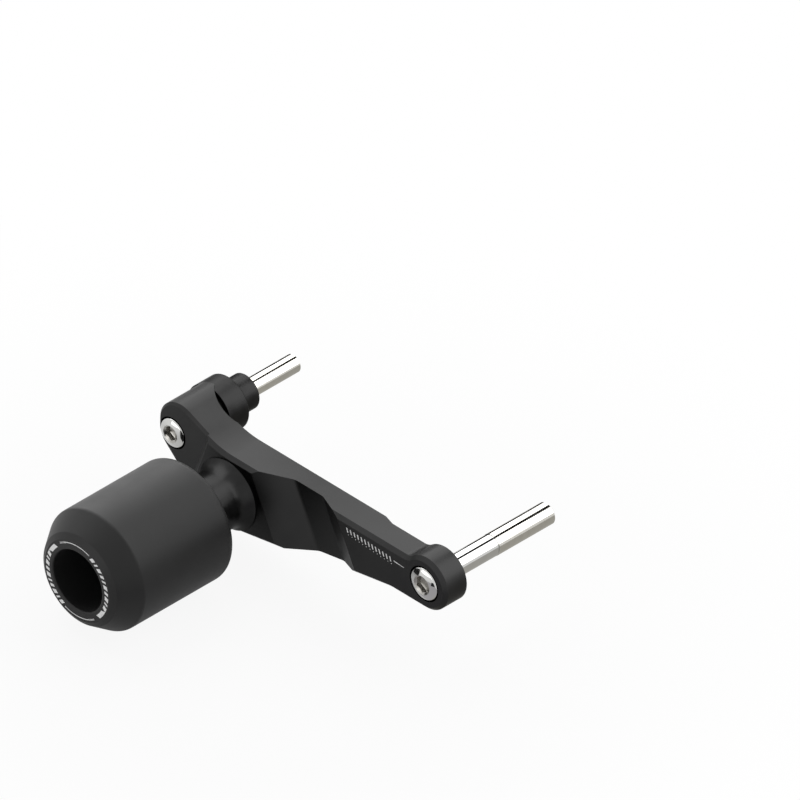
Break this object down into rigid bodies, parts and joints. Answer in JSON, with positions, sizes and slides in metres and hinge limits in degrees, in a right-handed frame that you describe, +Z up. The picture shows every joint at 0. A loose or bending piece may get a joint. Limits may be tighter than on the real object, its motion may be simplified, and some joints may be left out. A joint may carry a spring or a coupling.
{
  "type": "motorcycle frame slider",
  "caption": "Motorcycle crash protector: a milled alloy arm, bolted to the frame through a spacer, carries a hollow rounded plastic puck on a turned standoff.",
  "frame": {"origin": "on the lower bolt's axis, at the back face of the arm's lower boss, where it meets the motorcycle's frame", "axes": "+X along the bolts, from the puck towards the motorcycle's frame; +Y from the lower bolt towards the upper bolt; +Z up"},
  "size_m": [0.1956, 0.2032, 0.0668],
  "materials": {
    "arm_alloy": "satin black anodised",
    "turned_alloy": "glossy black anodised",
    "puck_plastic": "satin, turned",
    "sleeve_alloy": "as turned",
    "bolt_steel": "polished stainless",
    "hidden_steel": "dark zinc plated"
  },
  "bodies": {
    "root": {"arm": "arm_alloy", "upper_spacer": "turned_alloy", "standoff": "turned_alloy", "puck": "puck_plastic", "puck_sleeve": "sleeve_alloy", "lower_bolt": "bolt_steel", "upper_bolt": "bolt_steel", "puck_bolt": "hidden_steel", "puck_washer": "hidden_steel"}
  },
  "joints": []
}
